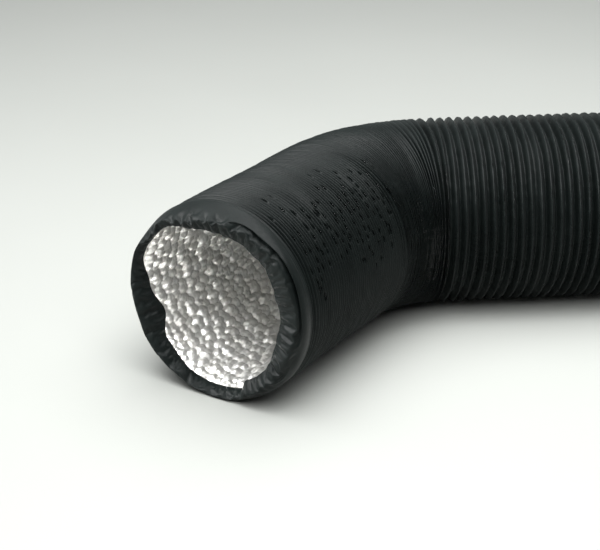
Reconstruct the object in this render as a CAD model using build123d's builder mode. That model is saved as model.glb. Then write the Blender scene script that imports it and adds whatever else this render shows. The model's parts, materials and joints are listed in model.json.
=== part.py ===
from build123d import *
import os
from math import cos, degrees, radians, sin

# A two-ply flexible air duct: an outer jacket and a foil liner with the turns of a spring-steel wire between
# them. It lies on its side. Its far end is drawn out, and from there it bends sideways into a short,
# tightly pushed-together stretch with an open mouth. Every length below is in millimetres.

# Cross-section
bore_radius = 127.0            # a nominal 10 inch duct, 254 mm inside its turned-in ends
skin = 0.6                     # jacket and hem thickness
outer_radius = 130.5           # crest of the jacket over the wire
liner_inner_radius = bore_radius + skin
liner_thickness = 0.4
wire_diameter = 1.2
wire_line_radius = 128.9       # centre of the wire, between the liner and the jacket
hem_depth = 42.0               # how far the jacket is turned in at each end
lip_radius = (outer_radius - bore_radius) / 2

# Centreline, measured from the far end
tail_length = 290.0
bend_radius = 210.0
bend_angle = 52.0
front_length = 270.0

# Wire spacing
drawn_pitch = 13.0             # turn to turn in the drawn-out tail
packed_pitch = 4.2             # turn to turn in the pushed-together front
bend_turns = 4                 # turns in each section of the bend, so that it can straighten

# Gaps
sleeve_gap = 0.3               # between the lengths of one sleeve
slide_clearance = 15.0         # bare length beside a tail joint that closes up
tilt_clearance = 7.0           # bare length beside a tail joint that tilts
end_clearance = 1.5            # wire end to hem lip, and between lengths that only move apart

# Sections
tail_joints = (80.0, 126.0, 172.0, 218.0, 260.0)
bend_sections = 6
front_slides = 4

bend_length = bend_radius * radians(bend_angle)
front_start = tail_length + bend_length
total_length = front_start + front_length
bend_axis = Axis((-tail_length, -bend_radius, 0), (0, 0, 1))
hem_edge = total_length - hem_depth
slide_span = (front_length - hem_depth) / front_slides

bend_joints = [tail_length + bend_length * (i + 0.5) / bend_sections for i in range(bend_sections)]
front_joints = [front_start + slide_span * (i + 0.5) for i in range(front_slides)]
cuts = [0.0, *tail_joints, *bend_joints, *front_joints, total_length]

sections = ["far_end"]
sections += [f"tail_{i + 1}" for i in range(len(tail_joints) - 1)]
sections += [f"bend_{i + 1}" for i in range(bend_sections)]
sections += [f"front_{i + 1}" for i in range(front_slides)]
sections += ["mouth"]


def plane_at(distance):
    """Plane across the duct at a distance along its centreline, facing the mouth."""
    turned = min(max((distance - tail_length) / bend_radius, 0.0), radians(bend_angle))
    run = max(distance - front_start, 0.0)
    x = -min(distance, tail_length) - bend_radius * sin(turned) - run * cos(turned)
    y = -bend_radius * (1 - cos(turned)) - run * sin(turned)
    return Plane(origin=(x, y, 0), x_dir=(0, 0, 1), z_dir=(-cos(turned), -sin(turned), 0))


def save(piece, name):
    piece.part.label = name
    export_step(piece.part, f"parts/{name}.step")


def sleeve(name, start, end, inner, outer):
    """One length of thin sleeve that follows the centreline."""
    straights = [(start, min(end, tail_length)), (max(start, front_start), end)]
    curve_start = max(start, tail_length)
    curve_end = min(end, front_start)
    with BuildPart() as piece:
        for low, high in straights:
            if high > low:
                with BuildSketch(plane_at(low)):
                    Circle(outer)
                    Circle(inner, mode=Mode.SUBTRACT)
                extrude(amount=high - low)
        if curve_end > curve_start:
            with BuildSketch(plane_at(curve_start)):
                Circle(outer)
                Circle(inner, mode=Mode.SUBTRACT)
            revolve(axis=bend_axis, revolution_arc=degrees((curve_end - curve_start) / bend_radius))
    save(piece, name)


def wire(name, start, end, pitch):
    """The turns of wire between two places on the centreline, each one a closed ring across it."""
    count = int((end - start) / pitch + 0.001) + 1
    first = (start + end - (count - 1) * pitch) / 2
    with BuildPart() as piece:
        for i in range(count):
            across = plane_at(first + i * pitch)
            with BuildSketch(Plane(origin=across.origin, x_dir=across.x_dir, z_dir=across.y_dir)):
                with Locations((wire_line_radius, 0)):
                    Circle(wire_diameter / 2)
            revolve(axis=Axis(across.origin, across.z_dir))
    save(piece, name)


def hem(name, end_point, inward):
    """The jacket's end turned in over the last turn of wire: a ring with a U-shaped wall."""
    profile = Plane(origin=end_point, x_dir=inward, z_dir=Vector(inward).cross(Vector(0, 0, 1)))
    middle = (outer_radius + bore_radius) / 2
    inside = lip_radius - skin
    with BuildPart() as piece:
        with BuildSketch(profile):
            with BuildLine():
                Line((0, outer_radius), (hem_depth, outer_radius))
                Line((hem_depth, outer_radius), (hem_depth, middle + inside))
                Line((hem_depth, middle + inside), (0, middle + inside))
                ThreePointArc((0, middle + inside), (-inside, middle), (0, middle - inside))
                Line((0, middle - inside), (hem_depth, middle - inside))
                Line((hem_depth, middle - inside), (hem_depth, bore_radius))
                Line((hem_depth, bore_radius), (0, bore_radius))
                ThreePointArc((0, bore_radius), (-lip_radius, middle), (0, outer_radius))
            make_face()
        revolve(axis=Axis(end_point, inward))
    save(piece, name)


os.makedirs("parts", exist_ok=True)

# Jacket and liner: one length of each for every section, and both stop short of the hems
for section, start, end in zip(sections, cuts, cuts[1:]):
    low = max(start, hem_depth) + sleeve_gap / 2
    high = min(end, hem_edge) - sleeve_gap / 2
    sleeve(f"jacket_{section}", low, high, outer_radius - skin, outer_radius)
    sleeve(f"liner_{section}", low, high, liner_inner_radius, liner_inner_radius + liner_thickness)

# Wire in the tail: open turns that stop clear of each joint
bare = [slide_clearance if i % 2 == 0 else tilt_clearance for i in range(len(tail_joints))]
wire("wire_far_end", end_clearance, tail_joints[0] - bare[0], drawn_pitch)
for i in range(1, len(tail_joints)):
    wire(f"wire_tail_{i}", tail_joints[i - 1] + bare[i - 1], tail_joints[i] - bare[i], drawn_pitch)
wire("wire_bend_1", tail_joints[-1] + bare[-1], tail_length + end_clearance, drawn_pitch)

# Wire in the bend: a few close turns in the middle of each section, fanned out with it
for i in range(1, bend_sections):
    middle = (bend_joints[i - 1] + bend_joints[i]) / 2
    reach = packed_pitch * (bend_turns - 1) / 2
    wire(f"wire_bend_{i + 1}", middle - reach, middle + reach, packed_pitch)

# Wire in the front: close turns from joint to joint, and on into the mouth's hem
front_starts = [front_start, *front_joints]
front_ends = [*front_joints, total_length]
for section, start, end in zip(sections[-front_slides - 1:], front_starts, front_ends):
    wire(f"wire_{section}", start + end_clearance, end - end_clearance, packed_pitch)

# The jacket's turned-in ends
hem("hem_far_end", (0, 0, 0), (-1, 0, 0))
mouth_plane = plane_at(total_length)
hem("hem_mouth", mouth_plane.origin, -mouth_plane.z_dir)
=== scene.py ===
import json
import math

import bpy
import numpy as np
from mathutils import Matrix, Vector

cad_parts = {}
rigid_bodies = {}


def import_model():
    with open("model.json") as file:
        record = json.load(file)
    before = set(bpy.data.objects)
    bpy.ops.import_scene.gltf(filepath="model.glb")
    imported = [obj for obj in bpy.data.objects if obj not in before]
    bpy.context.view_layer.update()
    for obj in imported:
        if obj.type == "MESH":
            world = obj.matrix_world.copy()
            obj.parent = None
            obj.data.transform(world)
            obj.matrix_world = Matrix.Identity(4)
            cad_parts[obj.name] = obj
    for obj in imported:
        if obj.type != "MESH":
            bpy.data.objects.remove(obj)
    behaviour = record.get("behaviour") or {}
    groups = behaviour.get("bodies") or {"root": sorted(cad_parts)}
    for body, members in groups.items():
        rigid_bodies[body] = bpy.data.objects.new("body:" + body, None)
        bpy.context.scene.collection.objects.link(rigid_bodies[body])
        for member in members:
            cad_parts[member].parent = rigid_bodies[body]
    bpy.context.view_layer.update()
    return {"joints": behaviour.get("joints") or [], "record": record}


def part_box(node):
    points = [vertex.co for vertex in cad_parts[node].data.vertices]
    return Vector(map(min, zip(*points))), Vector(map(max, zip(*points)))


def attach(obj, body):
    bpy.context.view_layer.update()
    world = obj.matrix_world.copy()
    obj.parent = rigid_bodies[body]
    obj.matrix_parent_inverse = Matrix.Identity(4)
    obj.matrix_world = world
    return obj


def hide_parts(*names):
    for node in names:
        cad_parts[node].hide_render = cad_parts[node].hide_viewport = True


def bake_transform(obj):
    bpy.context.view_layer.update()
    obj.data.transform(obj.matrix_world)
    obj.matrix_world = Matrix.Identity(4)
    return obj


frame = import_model()

# The duct is three sleeves that share one centreline: jacket, wire and foil. Each is worked out whole, as
# rows along the duct and columns around it, and is then cut into lengths, so that each length crosses one
# joint. Distances along the centreline start at the far end. Angles round the duct start at the outside of
# the bend and pass the top at a quarter turn. Everything is in metres.

# ----------------------------------------------------------------------------------------------------
# Sizes
# ----------------------------------------------------------------------------------------------------
mounts = {mount["name"]: mount for mount in frame["record"]["mounts"]}
mouth_centre = Vector(mounts["mouth_collar"]["pos_m"])
mouth_axis = Vector(mounts["mouth_collar"]["axis"])
bore_radius = mounts["mouth_collar"]["dims"]["r_mm"] / 1000
hem_depth = mounts["mouth_collar"]["dims"]["length_mm"] / 1000
outer_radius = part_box("hem_far_end")[1].z

bend_radius = 0.210
bend_angle = math.atan2(-mouth_axis.y, -mouth_axis.x)
bend_length = bend_radius * bend_angle
front_length = (-mouth_centre.y - bend_radius * (1 - math.cos(bend_angle))) / math.sin(bend_angle)
tail_length = -mouth_centre.x - bend_radius * math.sin(bend_angle) - front_length * math.cos(bend_angle)
front_start = tail_length + bend_length
total_length = front_start + front_length

wire_radius = 0.0006
jacket_film = 0.00035         # thickness of the jacket's film
foil_film = 0.00012
foil_crest = 0.1276           # radius of the foil where it passes under the wire
foil_gap = 0.0026             # from the outside of the jacket to the back of the foil, with the wire between
wire_gap = 0.0002             # between the wire and the jacket's film

drawn_pitch = 0.013           # from turn to turn of the wire, drawn out and packed
packed_pitch = 0.0050
drawn_fold = 0.0105           # depth of the film between turns, drawn out and packed
packed_fold = 0.0027
crest_softness = 0.008        # rounds the drawn-out film's crest over the wire
crest_offset = 0.0894         # brings the rounded shape back to 0 at the crest
crest_span = 0.9146           # and to 1 in the middle between two crests
gather_start = 0.300          # where the drawn-out turns begin to close up, going towards the mouth
gather_end = 0.336

dent_depth = 0.0060
dent_rows = 200               # size of the table that says where dents are
dent_cells = 66
folds_per_dent = 3            # one fold in each three can be dented

pillow_height = 0.0050        # cells of the foil, and the finer crinkles on them
crinkle_height = 0.0008
pillow_cell = (0.0165, 0.0094)      # length along the duct and width round it
crinkle_cell = (0.0075, 0.0050)
mouth_slump = 0.006           # how far the foil hangs in under the top of the mouth

turn = 2 * math.pi
lip_start = 0.020             # how far behind an end the film starts to curl over
columns = 360                 # points round the jacket
foil_columns = 480            # points round the foil
foil_inset = 0.014            # the foil starts this far from each end, behind the turned-in jacket
drawn_step = 0.0011           # between rows of the jacket, drawn out and packed
packed_step = 0.0006
foil_step = 0.0013            # between rows of the foil
end_rows = 26                 # rows in a sleeve's rigid end
mouth_rows = 36               # rows in the jacket's rigid end at the mouth

# ----------------------------------------------------------------------------------------------------
# Joints: stations along the centreline where the sleeves are cut, one length for each joint
# ----------------------------------------------------------------------------------------------------
joints = frame["joints"]
tilt_reach = 0.012            # film each side of a tilting joint, cut as one length across it
hem_clear = 0.002             # from a hem to the first cut in the sleeves
tilts = [-joint["pos_m"][0] for joint in joints if joint["name"].startswith("tail_tilt")]
bends = [joint for joint in joints if joint["name"].startswith("sideways_bend")]
slides = [joint for joint in joints if joint["name"].startswith("front_stretch")]


def sides(joint):
    """The bodies before and after a joint, going towards the mouth.

    The tree of bodies starts at the bend's first body, so in the tail a joint's child is the body before it.
    """
    pair = joint["parent"], joint["child"]
    return pair[::-1] if joint["name"].startswith("tail") else pair


stations = [hem_depth + hem_clear]
for tilt in tilts:
    stations += [tilt - tilt_reach, tilt + tilt_reach]
stations += [tail_length + bend_length * i / len(bends) for i in range(len(bends) + 1)]
stations += [front_start + (front_length - hem_depth) * (i + 1) / len(slides) for i in range(len(slides))]


# ----------------------------------------------------------------------------------------------------
# Shape helpers
# ----------------------------------------------------------------------------------------------------
def ease(value, low, high):
    """0 below low, 1 above high and a smooth step between them."""
    t = np.clip((value - low) / (high - low), 0, 1)
    return t * t * (3 - 2 * t)


def hump(value, middle, reach):
    """1 at the middle, fading to about nothing at twice the reach."""
    return np.exp(-(((value - middle) / reach) ** 2))


def arc(angle, middle, reach):
    """The same round the duct, where angles wrap."""
    return hump((angle - middle + math.pi) % turn - math.pi, 0, reach)


def ripple(along, around, cell, cells_around, seed):
    """Smooth random field from -1 to 1 with one new value per cell, closed round the duct."""
    values = np.random.default_rng(seed).uniform(-1, 1, (int(total_length / cell) + 6, cells_around))
    u = along / cell + 2
    v = (around / turn) % 1 * cells_around
    i = np.floor(u).astype(int)
    j = np.floor(v).astype(int)
    fu = ease(u - i, 0, 1)
    fv = ease(v - j, 0, 1)
    k = (j + 1) % cells_around
    j = j % cells_around
    here = values[i, j] * (1 - fv) + values[i, k] * fv
    there = values[i + 1, j] * (1 - fv) + values[i + 1, k] * fv
    return here * (1 - fu) + there * fu


def scattered(along, around, length, width, seed, shape):
    """Highest of the shapes that stand on a jittered lattice, one in each cell, closed round the duct."""
    ring = round(turn * bore_radius / width)
    lattice = np.random.default_rng(seed).uniform(-1, 1, (5, int(total_length / length) + 8, ring))
    u = along / length + 3
    v = around / turn * ring
    row, column = np.floor(u).astype(int), np.floor(v).astype(int)
    best = np.full(along.shape, -9.0)
    for down in (-1, 0, 1):
        for across in (-1, 0, 1):
            shift_u, shift_v, *traits = lattice[:, row + down, (column + across) % ring]
            x = u - (row + down + 0.5 + 0.25 * shift_u)
            y = v - (column + across + 0.5 + 0.25 * shift_v)
            best = np.maximum(best, shape(x, y, *traits))
    return best


def centreline(along):
    """Point, direction towards the mouth and outward side of the bend, at each distance."""
    turned = np.clip((along - tail_length) / bend_radius, 0, bend_angle)
    run = np.maximum(along - front_start, 0)
    c, s = np.cos(turned), np.sin(turned)
    x = -np.minimum(along, tail_length) - bend_radius * s - run * c
    y = -bend_radius * (1 - c) - run * s
    flat = np.zeros_like(c)
    point = np.stack([x, y, flat], -1)
    direction = np.stack([-c, -s, flat], -1)
    side = np.stack([-s, c, flat], -1)
    return point, direction, side


def place(along, around, radius):
    """Points of a sleeve."""
    point, _, side = centreline(along)
    across = side * (radius * np.cos(around))[..., None]
    across[..., 2] += radius * np.sin(around)
    return point + across


def grid_normals(points):
    """Unit normals of a grid whose columns close round the duct."""
    along = np.gradient(points, axis=0)
    around = np.roll(points, -1, axis=1) - np.roll(points, 1, axis=1)
    normal = np.cross(along, around)
    return normal / np.maximum(np.linalg.norm(normal, axis=-1, keepdims=True), 1e-12)


# ----------------------------------------------------------------------------------------------------
# Turns of the wire and the folds between them
# ----------------------------------------------------------------------------------------------------
creases = [
    # station, extra room between turns, depth, middle of the arc, reach of the arc
    (total_length - 0.038, 0.0025, 0.0038, math.radians(160), math.radians(45)),
    (front_start + 0.004, 0.0025, 0.0050, math.radians(135), math.radians(48)),
    (gather_end + 0.004, 0.0025, 0.0035, math.radians(150), math.radians(70)),
]


def pitch_at(along):
    """Distance between turns of the wire."""
    spacing = drawn_pitch + (packed_pitch - drawn_pitch) * ease(along, gather_start, gather_end)
    for station, room, *_ in creases:
        spacing = spacing + room * hump(along, station, packed_pitch)
    return spacing


beyond = 0.05                 # the table of turns runs on past both ends
table_size = 30001
table_along = np.linspace(-beyond, total_length + beyond, table_size)
table_turns = np.cumsum(1 / pitch_at(table_along)) * (table_along[1] - table_along[0])


def wobble(along, around):
    """How far the turns wander from a true helix, in turns."""
    packed = ease(along, gather_start, gather_end)
    slow = ripple(along, around, 0.045, 5, 11)
    quick = ripple(along, around, 0.016, 17, 12)
    fan = hump(along, gather_end + 0.028, 0.020) * arc(around, math.radians(95), math.radians(32))
    return slow * (0.10 + 0.20 * packed) + quick * (0.03 + 0.03 * packed) - 1.6 * fan


def phase_at(along, around):
    """Whole numbers are where the wire runs."""
    turns = np.interp(along, table_along, table_turns)
    return turns - (around / turn) % 1 + wobble(along, around)


def dents(along, around, phase):
    """Short places where one fold is pressed open, from 0 to 1: a band high on the front's inner side."""
    band = arc(around, math.radians(143), math.radians(24))
    band = band * ease(along, front_start - 0.03, front_start + 0.04)
    band = band * (1 - ease(along, total_length - 0.055, total_length - 0.035))
    chance = 1.15 * band * (1 + 0.3 * ripple(along, around, 0.030, 14, 36))
    lattice = np.random.default_rng(33).uniform(0, 1, (4, dent_rows, dent_cells))
    v = around / turn * dent_cells
    fold, column = np.floor(phase).astype(int), np.floor(v).astype(int)
    row, within = fold // folds_per_dent, fold % folds_per_dent
    pressed = np.zeros(along.shape)
    for across in (-1, 0, 1):
        draw, shift, size, pick = lattice[:, row % dent_rows, (column + across) % dent_cells]
        y = (v - (column + across + 0.25 + 0.5 * shift)) / (0.20 + 0.16 * size)
        here = within == np.floor(pick * folds_per_dent)
        pressed = np.maximum(pressed, here * ease(chance - draw, 0, 0.1) * np.exp(-(y ** 4)))
    return pressed


def away_from_ends(along, reach):
    """0 where the film leaves the wire to turn in at an end, 1 further along than the reach."""
    return ease(np.minimum(along, total_length - along), lip_start, lip_start + reach)


def fold_depth(along, around, phase):
    """How far the film sinks between two turns of wire."""
    packed = ease(along, gather_start, gather_end)
    varied = 1 + 0.20 * ripple(along, around, 0.009, 7, 21)
    varied = varied + 0.18 * ripple(along, around, 0.030, 12, 22)
    depth = (drawn_fold + (packed_fold - drawn_fold) * packed) * varied
    for station, _, extra, middle, reach in creases:
        fold = math.floor(np.interp(station, table_along, table_turns))
        depth = depth + extra * hump(np.floor(phase), fold, 1.1) * arc(around, middle, reach)
    return depth


def sunk(along, around):
    """Depth below the wire's crests: steep from a narrow crest in drawn-out film, round in packed folds."""
    phase = phase_at(along, around)
    packed = ease(along, gather_start, gather_end)
    away = 2 * np.abs(phase - np.round(phase))
    rounded = (np.sqrt(away * away + crest_softness) - crest_offset) / crest_span
    drawn_shape = 1 - (1 - rounded) ** 1.5
    packed_shape = 0.5 - 0.5 * np.cos(turn * phase)
    shape = drawn_shape + (packed_shape - drawn_shape) * packed
    depth = fold_depth(along, around, phase) * shape + dent_depth * dents(along, around, phase) * drawn_shape
    return depth * away_from_ends(along, 0.010)


def jacket_radius(along, around):
    """Radius of the jacket's outside, with its folds, dents and lumps."""
    packed = ease(along, gather_start, gather_end)
    lumps = 0.0004 * ripple(along, around, 0.0042, 23, 31) + 0.0011 * ripple(along, around, 0.050, 9, 32)
    slack = 0.0005 * ripple(along, around, 0.006, 90, 34)
    uneven = (slack + (lumps - slack) * packed) * away_from_ends(along, 0.015)
    return outer_radius + uneven - sunk(along, around)


def on_floor(points):
    """Presses whatever would sink through the floor flat."""
    points = points.copy()
    points[..., 2] = np.maximum(points[..., 2], -outer_radius)
    return points


# ----------------------------------------------------------------------------------------------------
# Mesh helpers
# ----------------------------------------------------------------------------------------------------
def strip_faces(rows, wide, first, flip=False):
    """Quads between the rows of a grid that closes on itself."""
    i, j = np.meshgrid(np.arange(rows - 1), np.arange(wide), indexing="ij")
    k = (j + 1) % wide
    quads = np.stack([i * wide + j, (i + 1) * wide + j, (i + 1) * wide + k, i * wide + k], -1)
    quads = quads.reshape(-1, 4) + first
    return quads[:, ::-1] if flip else quads


def rim_faces(edge_a, edge_b):
    """Quads that join two closed rows of points."""
    next_a, next_b = np.roll(edge_a, -1), np.roll(edge_b, -1)
    return np.stack([edge_a, next_a, next_b, edge_b], -1)


def build(name, points, faces, normals, material):
    """A smooth piece from points and quads."""
    mesh = bpy.data.meshes.new(name)
    mesh.vertices.add(len(points))
    mesh.vertices.foreach_set("co", points.astype(np.float32).ravel())
    mesh.loops.add(faces.size)
    mesh.loops.foreach_set("vertex_index", faces.astype(np.int32).ravel())
    mesh.polygons.add(len(faces))
    mesh.polygons.foreach_set("loop_start", np.arange(0, faces.size, 4, dtype=np.int32))
    mesh.polygons.foreach_set("use_smooth", np.ones(len(faces), bool))
    mesh.update(calc_edges=True)
    mesh.normals_split_custom_set_from_vertices(normals.astype(np.float32))
    mesh.materials.append(material)
    piece = bpy.data.objects.new(name, mesh)
    bpy.context.scene.collection.objects.link(piece)
    return piece


def film(name, points, normals, thickness, material):
    """A closed thin sheet: the given grid, a copy of it one thickness behind, and a rim at each end."""
    rows, wide = points.shape[:2]
    count = rows * wide
    front = points.reshape(-1, 3)
    back = (points - normals * thickness).reshape(-1, 3)
    both_sides = np.concatenate([front, back])
    flat_normals = normals.reshape(-1, 3)
    both_normals = np.concatenate([flat_normals, -flat_normals])
    first, last = np.arange(wide), np.arange(count - wide, count)
    faces = np.concatenate([
        strip_faces(rows, wide, 0),
        strip_faces(rows, wide, count, flip=True),
        rim_faces(first, first + count),
        rim_faces(last + count, last),
    ])
    return build(name, both_sides, faces, both_normals, material)


def carry(piece):
    """Bakes the piece's placement into its points. The length is not tied to the bodies on either side of
    its joint.
    """
    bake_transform(piece)


def row_distances(step_at):
    """Distances along the centreline for the rows of a sleeve, with a row exactly at each station."""
    rows, cuts = [], [0]
    for start, end in zip(stations, stations[1:]):
        count = max(2, round((end - start) / step_at((start + end) / 2)))
        rows += list(np.linspace(start, end, count, endpoint=False))
        cuts.append(len(rows))
    return np.array(rows + [stations[-1]]), cuts


# ----------------------------------------------------------------------------------------------------
# Materials
# ----------------------------------------------------------------------------------------------------
def new_material(name):
    """A material with its node tree's nodes, links and main shader."""
    material = bpy.data.materials.new(name)
    material.use_nodes = True
    nodes = material.node_tree.nodes
    return material, nodes, material.node_tree.links, nodes["Principled BSDF"]


def noise_node(nodes, links, place_from, scale, detail=3.0, roughness=0.5):
    """Cloudy value from 0 to 1."""
    noise = nodes.new("ShaderNodeTexNoise")
    noise.inputs["Scale"].default_value = scale
    noise.inputs["Detail"].default_value = detail
    noise.inputs["Roughness"].default_value = roughness
    links.new(place_from, noise.inputs["Vector"])
    return noise.outputs["Fac"]


def spread(nodes, links, value, low, high):
    """Turns a value from 0 to 1 into one from low to high."""
    node = nodes.new("ShaderNodeMapRange")
    node.inputs["To Min"].default_value = low
    node.inputs["To Max"].default_value = high
    links.new(value, node.inputs["Value"])
    return node.outputs["Result"]


def blended_colour(nodes, links, value, low, high):
    """Colour that goes from low to high with the value."""
    ramp = nodes.new("ShaderNodeValToRGB")
    ramp.color_ramp.elements[0].color = (*low, 1)
    ramp.color_ramp.elements[0].position = 0.3
    ramp.color_ramp.elements[1].color = (*high, 1)
    ramp.color_ramp.elements[1].position = 0.7
    links.new(value, ramp.inputs["Fac"])
    return ramp.outputs["Color"]


def bump(nodes, links, height, distance, strength, base=None):
    """Normal that shows the given height as relief."""
    node = nodes.new("ShaderNodeBump")
    node.inputs["Distance"].default_value = distance
    node.inputs["Strength"].default_value = strength
    links.new(height, node.inputs["Height"])
    if base is not None:
        links.new(base, node.inputs["Normal"])
    return node.outputs["Normal"]


def black_vinyl():
    """Thin satin PVC film: near black, a little greenish, with fine grain and soft rub marks."""
    material, nodes, links, shader = new_material("black_pvc_film")
    place_from = nodes.new("ShaderNodeTexCoord").outputs["Object"]
    rubbed = noise_node(nodes, links, place_from, 38, 5, 0.6)
    grain = noise_node(nodes, links, place_from, 1400, 2)
    creased = noise_node(nodes, links, place_from, 240, 4, 0.65)
    colour = blended_colour(nodes, links, rubbed, (0.0048, 0.0070, 0.0067), (0.0076, 0.0108, 0.0103))
    links.new(colour, shader.inputs["Base Color"])
    links.new(spread(nodes, links, creased, 0.34, 0.58), shader.inputs["Roughness"])
    shader.inputs["Specular IOR Level"].default_value = 0.14
    shader.inputs["Sheen Weight"].default_value = 0.02
    shader.inputs["Sheen Roughness"].default_value = 0.4
    soft = bump(nodes, links, creased, 0.0006, 0.35)
    links.new(bump(nodes, links, grain, 0.0001, 0.25, soft), shader.inputs["Normal"])
    return material


def crinkled_foil():
    """Bright aluminium laminate: fine wrinkles over the cells that the mesh holds, slightly tarnished."""
    material, nodes, links, shader = new_material("crinkled_foil")
    place_from = nodes.new("ShaderNodeTexCoord").outputs["Object"]
    tarnish = noise_node(nodes, links, place_from, 30, 4)
    wrinkle = noise_node(nodes, links, place_from, 260, 4, 0.5)
    colour = blended_colour(nodes, links, tarnish, (0.70, 0.69, 0.665), (0.84, 0.84, 0.825))
    links.new(colour, shader.inputs["Base Color"])
    shader.inputs["Metallic"].default_value = 1.0
    links.new(spread(nodes, links, wrinkle, 0.30, 0.48), shader.inputs["Roughness"])
    links.new(bump(nodes, links, wrinkle, 0.0006, 0.35), shader.inputs["Normal"])
    return material


def spring_wire():
    """Drawn spring steel: grey, with fine unevenness."""
    material, nodes, links, shader = new_material("spring_steel_wire")
    place_from = nodes.new("ShaderNodeTexCoord").outputs["Object"]
    drawn = noise_node(nodes, links, place_from, 900, 3)
    colour = blended_colour(nodes, links, drawn, (0.28, 0.28, 0.29), (0.46, 0.46, 0.46))
    links.new(colour, shader.inputs["Base Color"])
    shader.inputs["Metallic"].default_value = 1.0
    links.new(spread(nodes, links, drawn, 0.25, 0.45), shader.inputs["Roughness"])
    links.new(bump(nodes, links, drawn, 0.0001, 0.3), shader.inputs["Normal"])
    return material


def pale_floor():
    """Matt pale sheet, faintly cloudy."""
    material, nodes, links, shader = new_material("pale_floor")
    place_from = nodes.new("ShaderNodeTexCoord").outputs["Object"]
    tone = noise_node(nodes, links, place_from, 1.5, 3)
    colour = blended_colour(nodes, links, tone, (0.370, 0.382, 0.362), (0.384, 0.396, 0.376))
    links.new(colour, shader.inputs["Base Color"])
    shader.inputs["Roughness"].default_value = 0.75
    return material


vinyl = black_vinyl()
foil = crinkled_foil()
steel = spring_wire()


# ----------------------------------------------------------------------------------------------------
# Turned-in ends of the jacket
# ----------------------------------------------------------------------------------------------------
angles = np.arange(columns) * turn / columns
lip_rows = 33
cloth_scale = 10              # the cloth is worked out ten times full size, where its forces act well
cloth_frames = 24
fullness = 0.62               # share of the film's spare length that shows as gathers
cloth_reach = 0.012           # no point of the cloth moves further than this

mouth_lip = (
    # angle, radius where it curls over, radius of the free edge, depth of the free edge, depth of the tuck
    (0, 0.128, 0.108, 0.016, 0),
    (18, 0.126, 0.119, 0.012, 0),
    (45, 0.120, 0.114, 0.006, 0),
    (72, 0.115, 0.100, 0.004, 0),
    (95, 0.116, 0.096, 0.004, 0.001),
    (120, 0.125, 0.099, 0.004, 0.009),
    (147, 0.134, 0.098, 0.004, 0.010),
    (176, 0.132, 0.095, 0.004, 0.004),
    (205, 0.127, 0.096, 0.005, 0.001),
    (232, 0.126, 0.104, 0.006, 0),
    (246, 0.126, 0.106, 0.008, 0),
    (254, 0.127, 0.118, 0.016, 0),
    (288, 0.127, 0.119, 0.017, 0),
    (318, 0.128, 0.112, 0.018, 0),
    (338, 0.128, 0.097, 0.022, 0),
)
far_lip = (
    (0, 0.127, 0.121, 0.030, 0),
    (180, 0.127, 0.121, 0.030, 0),
)


def round_the_rim(keys, column):
    """Smooth closed curve through one column of a lip's values."""
    known = np.radians([row[0] for row in keys] + [keys[0][0] + 360])
    values = np.array([row[column] for row in keys] + [keys[0][column]])
    after = np.clip(np.searchsorted(known, angles, side="right"), 1, len(known) - 1)
    share = ease((angles - known[after - 1]) / (known[after] - known[after - 1]), 0, 1)
    return values[after - 1] + (values[after] - values[after - 1]) * share


def lip_profile(keys, seed):
    """Depth and radius of the film past the rim, from where it leaves the wire to its free edge."""
    flat = np.zeros(columns)
    ragged = ripple(flat, angles, 1, 34, seed) + 0.5 * ripple(flat, angles, 1, 90, seed + 1)
    over = round_the_rim(keys, 1)
    edge_radius = round_the_rim(keys, 2) + 0.0012 * ragged
    edge_depth = round_the_rim(keys, 3) + 0.0015 * ragged
    forward = 0.0085 + 0.0010 * ripple(flat, angles, 1, 9, seed + 2)
    u = np.linspace(0, 1, lip_rows)[:, None]
    weights = ((1 - u) ** 3, 3 * u * (1 - u) ** 2, 3 * u ** 2 * (1 - u), u ** 3)
    depths = (np.full(columns, lip_start), flat, -forward, edge_depth)
    radii = (np.full(columns, outer_radius), over + 0.006, over - 0.006, edge_radius)
    depth, radius = sum(w * d for w, d in zip(weights, depths)), sum(w * r for w, r in zip(weights, radii))
    return depth + round_the_rim(keys, 4) * hump(u, 0.52, 0.07), radius


def as_mesh(points):
    """A plain grid mesh, closed round the duct."""
    mesh = bpy.data.meshes.new("cloth")
    mesh.from_pydata(points.reshape(-1, 3).tolist(), [], strip_faces(*points.shape[:2], 0).tolist())
    return mesh


def hold_and_grow(piece, rows, wide, growth, most):
    """Vertex groups: how firmly each point is held, and how little it grows."""
    held = piece.vertex_groups.new(name="held")
    kept = piece.vertex_groups.new(name="kept")
    for row in range(rows):
        u = row / (rows - 1)
        ring = list(range(row * wide, (row + 1) * wide))
        held.add(ring, 1.0 if row < 2 else u ** 12, "REPLACE")
        for point in ring:
            kept.add([point], 1 - float(growth.flat[point]) / most, "REPLACE")
    return held, kept


def soft_film(piece, held, kept, most):
    """Cloth modifier for film that grows by up to the given share."""
    cloth = piece.modifiers.new("cloth", "CLOTH")
    cloth.collision_settings.use_collision = False
    cloth.point_cache.frame_end = cloth_frames
    settings = cloth.settings
    settings.quality = 5
    settings.mass = 0.05
    settings.tension_stiffness = 15
    settings.compression_stiffness = 15
    settings.shear_stiffness = 5
    settings.bending_stiffness = 1.0
    settings.vertex_group_mass = held.name
    settings.vertex_group_shrink = kept.name
    settings.shrink_min = -most
    settings.shrink_max = 0
    settings.effector_weights.gravity = 0


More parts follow.
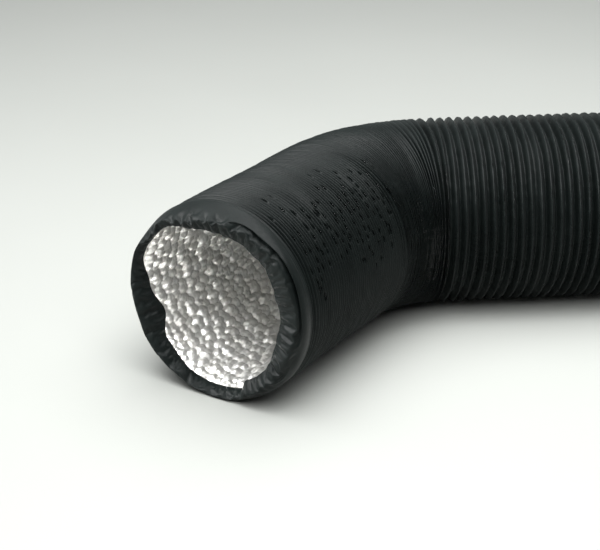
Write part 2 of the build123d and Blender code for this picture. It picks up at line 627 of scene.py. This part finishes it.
def settle(points, growth):
    """Cloth simulation of a turned-in end.

    The film of a tube that is turned in is longer than the smaller ring it has to fill, so the cloth grows
    away from the wire. It is held where it leaves the wire and at its free edge, and buckles into gathers.
    """
    rows, wide = points.shape[:2]
    piece = bpy.data.objects.new("cloth", as_mesh(points * cloth_scale))
    bpy.context.scene.collection.objects.link(piece)
    most = float(growth.max())
    held, kept = hold_and_grow(piece, rows, wide, growth, most)
    soft_film(piece, held, kept, most)
    for frame_number in range(1, cloth_frames + 1):
        bpy.context.scene.frame_set(frame_number)
    settled = np.empty(points.size, np.float32)
    seen = piece.evaluated_get(bpy.context.evaluated_depsgraph_get()).data
    seen.vertices.foreach_get("co", settled)
    bpy.data.objects.remove(piece)
    bpy.context.scene.frame_set(1)
    moved = settled.reshape(points.shape) / cloth_scale - points
    length = np.linalg.norm(moved, axis=-1, keepdims=True)
    moved = moved * np.minimum(1, cloth_reach / np.maximum(length, 1e-9))
    return points + moved * ease(np.linspace(0, 1, rows), 0.18, 0.60)[:, None, None]


def lip_points(keys, from_mouth, seed):
    """Grid of points of a turned-in end, from where it leaves the wire to its free edge."""
    depth, radius = lip_profile(keys, seed)
    around = np.broadcast_to(angles, depth.shape)
    points = place(total_length - depth if from_mouth else depth, around, radius)
    growth = fullness * np.maximum(outer_radius / radius - 1, 0)
    return settle(points, growth)


# ----------------------------------------------------------------------------------------------------
# Sleeves: a body between two rigid ends
# ----------------------------------------------------------------------------------------------------
def jacket_step(along):
    """Distance between rows of the jacket's mesh."""
    return drawn_step + (packed_step - drawn_step) * ease(along, gather_start, gather_end)


def cut_sleeve(kind, points, lead, rows, cuts, film_of, stands_for):
    """Cuts a sleeve at the stations: a rigid end, one length for each joint and the other rigid end."""
    normals = grid_normals(points)
    last = lead + len(rows) - 1
    ends = [lead + cut for cut in cuts] + [last]

    def piece_from(name, low, high):
        piece = film_of(f"{kind}_{name}", points[low:high], normals[low:high])
        return piece

    far = piece_from("far_end", 0, lead + 1)
    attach(far, sides(joints[0])[0])
    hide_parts(*stands_for(sides(joints[0])[0]))
    for k, joint in enumerate(joints):
        low, high = ends[k], ends[k + 1]
        piece = piece_from(f"length_{k + 1:02d}", low, high + 1)
        carry(piece)
        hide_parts(stands_for(sides(joint)[1])[0])
    mouth = piece_from("mouth_end", last, len(points))
    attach(mouth, sides(joints[-1])[1])
    for node in stands_for(sides(joints[-1])[1])[1:]:
        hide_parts(node)


def make_jacket():
    """Black sleeve with folds and dents, turned in at both ends."""
    rows, cuts = row_distances(jacket_step)
    tail_rows = np.linspace(lip_start, stations[0], end_rows)[:-1]
    front_rows = np.linspace(stations[-1], total_length - lip_start, mouth_rows)[1:]
    every = np.concatenate([tail_rows, rows, front_rows])
    along, around = np.meshgrid(every, angles, indexing="ij")
    body = place(along, around, jacket_radius(along, around))
    tail_lip = lip_points(far_lip, False, 41)[::-1]
    front_lip = lip_points(mouth_lip, True, 51)
    points = on_floor(np.concatenate([tail_lip[:-1], body, front_lip[1:]]))
    lead = len(tail_lip) - 1 + len(tail_rows)

    def film_of(name, part, normals):
        return film(name, part, normals, jacket_film, vinyl)

    cut_sleeve("cover", points, lead, rows, cuts, film_of,
               lambda body_name: ("jacket_" + body_name, "hem_" + body_name))


# ----------------------------------------------------------------------------------------------------
# Foil
# ----------------------------------------------------------------------------------------------------
def crushed(x, y, lift, tilt_x, tilt_y):
    """Height of one cell of the foil: a dome that is lifted and tilted by chance."""
    return 1 + 0.35 * lift + 0.6 * (tilt_x * x + tilt_y * y) - 1.6 * (x * x + y * y)


def pillows(along, around):
    """Domed cells of crushed foil with sharp creases between them, standing into the duct."""
    slanted = along + 0.0035 * np.sin(around)
    large = scattered(slanted, around, *pillow_cell, 71, crushed)
    small = scattered(slanted, around, *crinkle_cell, 72, crushed)
    raised = pillow_height * np.clip(large, -0.2, 1.6) + crinkle_height * np.clip(small, -0.2, 1.6)
    from_ends = np.minimum(along - 0.018, total_length - along)
    return np.maximum(raised, 0) * ease(from_ends, 0.012, 0.032)


def lowest_nearby(values):
    """Each value of a grid, or a neighbour's if that is lower."""
    for axis in (0, 1):
        values = np.minimum(values, np.minimum(np.roll(values, 1, axis), np.roll(values, -1, axis)))
    return values


def make_foil():
    """Crinkled liner: it lies inside the wire, and further in where the jacket is folded or dented."""
    rows, cuts = row_distances(lambda along: foil_step)
    tail_rows = np.linspace(foil_inset, stations[0], end_rows)[:-1]
    front_rows = np.linspace(stations[-1], total_length - foil_inset, end_rows)[1:]
    around = -np.arange(foil_columns) * turn / foil_columns
    along, around = np.meshgrid(np.concatenate([tail_rows, rows, front_rows]), around, indexing="ij")
    taut = foil_crest - 1.3 * packed_fold * ease(along, gather_start, gather_end)
    near_mouth = 1 - ease(total_length - along, 0.012, 0.028)
    taut = taut - mouth_slump * near_mouth * arc(around, math.radians(80), math.radians(45))
    backing = np.minimum(taut, lowest_nearby(jacket_radius(along, around)) - foil_gap)
    points = place(along, around, backing - pillows(along, around))

    def film_of(name, part, normals):
        return film(name, part, normals, foil_film, foil)

    cut_sleeve("foil", points, len(tail_rows), rows, cuts, film_of,
               lambda body_name: ("liner_" + body_name,))


# ----------------------------------------------------------------------------------------------------
# Wire: one helix between the two sleeves
# ----------------------------------------------------------------------------------------------------
points_per_turn = 72
wire_sides = 6
wire_clear = 0.002            # the wire ends this far from where the film curls over


def wire_path():
    """Distance along the duct and angle round it, with a point exactly at each station it passes."""
    margin = lip_start + wire_clear
    first, last = np.interp([margin, total_length - margin], table_along, table_turns)
    turns = np.arange(first, last, 1 / points_per_turn)
    around = turns * turn
    along = np.interp(turns, table_turns, table_along)
    for _ in range(12):
        along = np.interp(turns - wobble(along, around), table_turns, table_along)
    for station in stations:
        before = np.nonzero(np.diff(np.sign(along - station)))[0]
        share = (station - along[before]) / (along[before + 1] - along[before])
        angle = around[before] + share * (around[before + 1] - around[before])
        along = np.insert(along, before + 1, station)
        around = np.insert(around, before + 1, angle)
    return along, around


def tube(name, runs):
    """Round wire through each run of points."""
    points, faces, normals, distances = [], [], [], []
    spokes = np.arange(wire_sides) * turn / wire_sides
    start = 0
    for along, line in runs:
        ahead = np.gradient(line, axis=0)
        ahead /= np.linalg.norm(ahead, axis=-1, keepdims=True)
        outward = line - centreline(along)[0]
        across = np.cross(ahead, outward)
        across /= np.linalg.norm(across, axis=-1, keepdims=True)
        outward = np.cross(across, ahead)
        spoke = outward[:, None] * np.cos(spokes)[:, None] + across[:, None] * np.sin(spokes)[:, None]
        points.append((line[:, None] + wire_radius * spoke).reshape(-1, 3))
        normals.append(spoke.reshape(-1, 3))
        faces.append(strip_faces(len(line), wire_sides, start))
        distances.append(np.repeat(along, wire_sides))
        start += len(line) * wire_sides
    piece = build(name, np.concatenate(points), np.concatenate(faces), np.concatenate(normals), steel)
    return piece, np.concatenate(distances)


def wire_runs():
    """The helix as runs of points, sorted by the stations they lie between."""
    along, around = wire_path()
    line = place(along, around, jacket_radius(along, around) - jacket_film - wire_radius - wire_gap)
    middles = (along[1:] + along[:-1]) / 2
    zones = np.searchsorted(stations, middles)
    breaks = np.nonzero(np.diff(zones))[0] + 1
    starts, ends = np.concatenate([[0], breaks]), np.concatenate([breaks, [len(middles)]])
    runs = {zone: [] for zone in range(len(stations) + 1)}
    for start, end in zip(starts, ends):
        runs[zones[start]].append((along[start:end + 1], line[start:end + 1]))
    return runs


def make_wire():
    """One helix between the jacket and the foil, cut where the sleeves are cut."""
    runs = wire_runs()
    piece, _ = tube("helix_far_end", runs[0])
    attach(piece, sides(joints[0])[0])
    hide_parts("wire_" + sides(joints[0])[0])
    for k, joint in enumerate(joints):
        piece, distances = tube(f"helix_length_{k + 1:02d}", runs[k + 1])
        carry(piece)
        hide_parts("wire_" + sides(joint)[1])
    piece, _ = tube("helix_mouth_end", runs[len(stations)])
    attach(piece, sides(joints[-1])[1])


make_jacket()
make_foil()
make_wire()


# ----------------------------------------------------------------------------------------------------
# Floor, light and camera
# ----------------------------------------------------------------------------------------------------
def make_floor():
    """Wide pale sheet, a hair below the duct."""
    size = 12.0
    level = -outer_radius - 0.0002
    corners = [(x * size, y * size, level) for x, y in ((-1, -1), (1, -1), (1, 1), (-1, 1))]
    mesh = bpy.data.meshes.new("floor")
    mesh.from_pydata(corners, [], [(0, 1, 2, 3)])
    mesh.materials.append(pale_floor())
    floor = bpy.data.objects.new("floor", mesh)
    bpy.context.scene.collection.objects.link(floor)
    return floor


def area_light(name, place_at, aim, size, power, lit=None):
    """Soft lamp. With a group of pieces it lights only those."""
    lamp = bpy.data.lights.new(name, "AREA")
    lamp.shape = "RECTANGLE"
    lamp.size, lamp.size_y = size
    lamp.energy = power
    light = bpy.data.objects.new(name, lamp)
    light.location = place_at
    light.rotation_euler = (Vector(aim) - Vector(place_at)).to_track_quat("-Z", "Y").to_euler()
    bpy.context.scene.collection.objects.link(light)
    if lit:
        group = bpy.data.collections.new(name)
        for piece in lit:
            group.objects.link(piece)
        light.light_linking.receiver_collection = group


def make_lights(floor):
    """One lamp for the whole room, and others that light only the sleeves, the foil or the floor."""
    sleeves = [piece for piece in bpy.data.objects if piece.name.startswith(("cover_", "foil_", "helix_"))]
    foil_pieces = [piece for piece in sleeves if piece.name.startswith("foil_")]
    middle = Vector((-0.36, -0.08, 0))
    area_light("overhead", (-0.40, 0.0, 2.3), middle, (3.2, 2.8), 110)
    area_light("satin", (0.10, -0.9, 2.1), middle, (1.8, 1.6), 32, sleeves)
    area_light("left", (-2.6, -0.35, 1.2), middle, (1.5, 1.2), 90, sleeves)
    area_light("into_mouth", (-1.12, -1.25, 1.75), mouth_centre, (2.4, 1.4), 315, foil_pieces)
    area_light("floor_fill", (-0.5, -1.4, 2.2), middle, (2.6, 2.4), 108, [floor])


def soft_room():
    """Pale room behind the duct that darkens towards the viewer."""
    world = bpy.data.worlds.new("soft_room")
    world.use_nodes = True
    nodes, links = world.node_tree.nodes, world.node_tree.links
    toward = nodes.new("ShaderNodeSeparateXYZ")
    links.new(nodes.new("ShaderNodeTexCoord").outputs["Generated"], toward.inputs["Vector"])
    level = nodes.new("ShaderNodeMapRange")
    level.inputs["From Min"].default_value = -1.0
    level.inputs["To Min"].default_value = 0.06
    level.inputs["To Max"].default_value = 0.45
    links.new(toward.outputs["Y"], level.inputs["Value"])
    nodes["Background"].inputs["Color"].default_value = (0.94, 0.97, 0.97, 1)
    links.new(level.outputs["Result"], nodes["Background"].inputs["Strength"])
    return world


view_turn = math.radians(-6.12)       # how far the view is turned from straight along +Y
view_drop = math.radians(23.45)       # how far it looks down
view_target = Vector((-0.4825, -0.0149, -0.0855))
view_distance = 2.40
view_lens = 101.4


def make_camera():
    """The photo's viewing angle, through a long lens."""
    level = math.cos(view_drop)
    looking = Vector((-math.sin(view_turn) * level, math.cos(view_turn) * level, -math.sin(view_drop)))
    camera_data = bpy.data.cameras.new("camera")
    camera_data.sensor_width = 36.0
    camera_data.lens = view_lens
    camera = bpy.data.objects.new("camera", camera_data)
    camera.location = view_target - looking * view_distance
    camera.rotation_euler = looking.to_track_quat("-Z", "Y").to_euler()
    bpy.context.scene.collection.objects.link(camera)
    return camera


make_lights(make_floor())
bpy.context.scene.world = soft_room()
bpy.context.scene.view_settings.view_transform = "Standard"
bpy.context.scene.camera = make_camera()
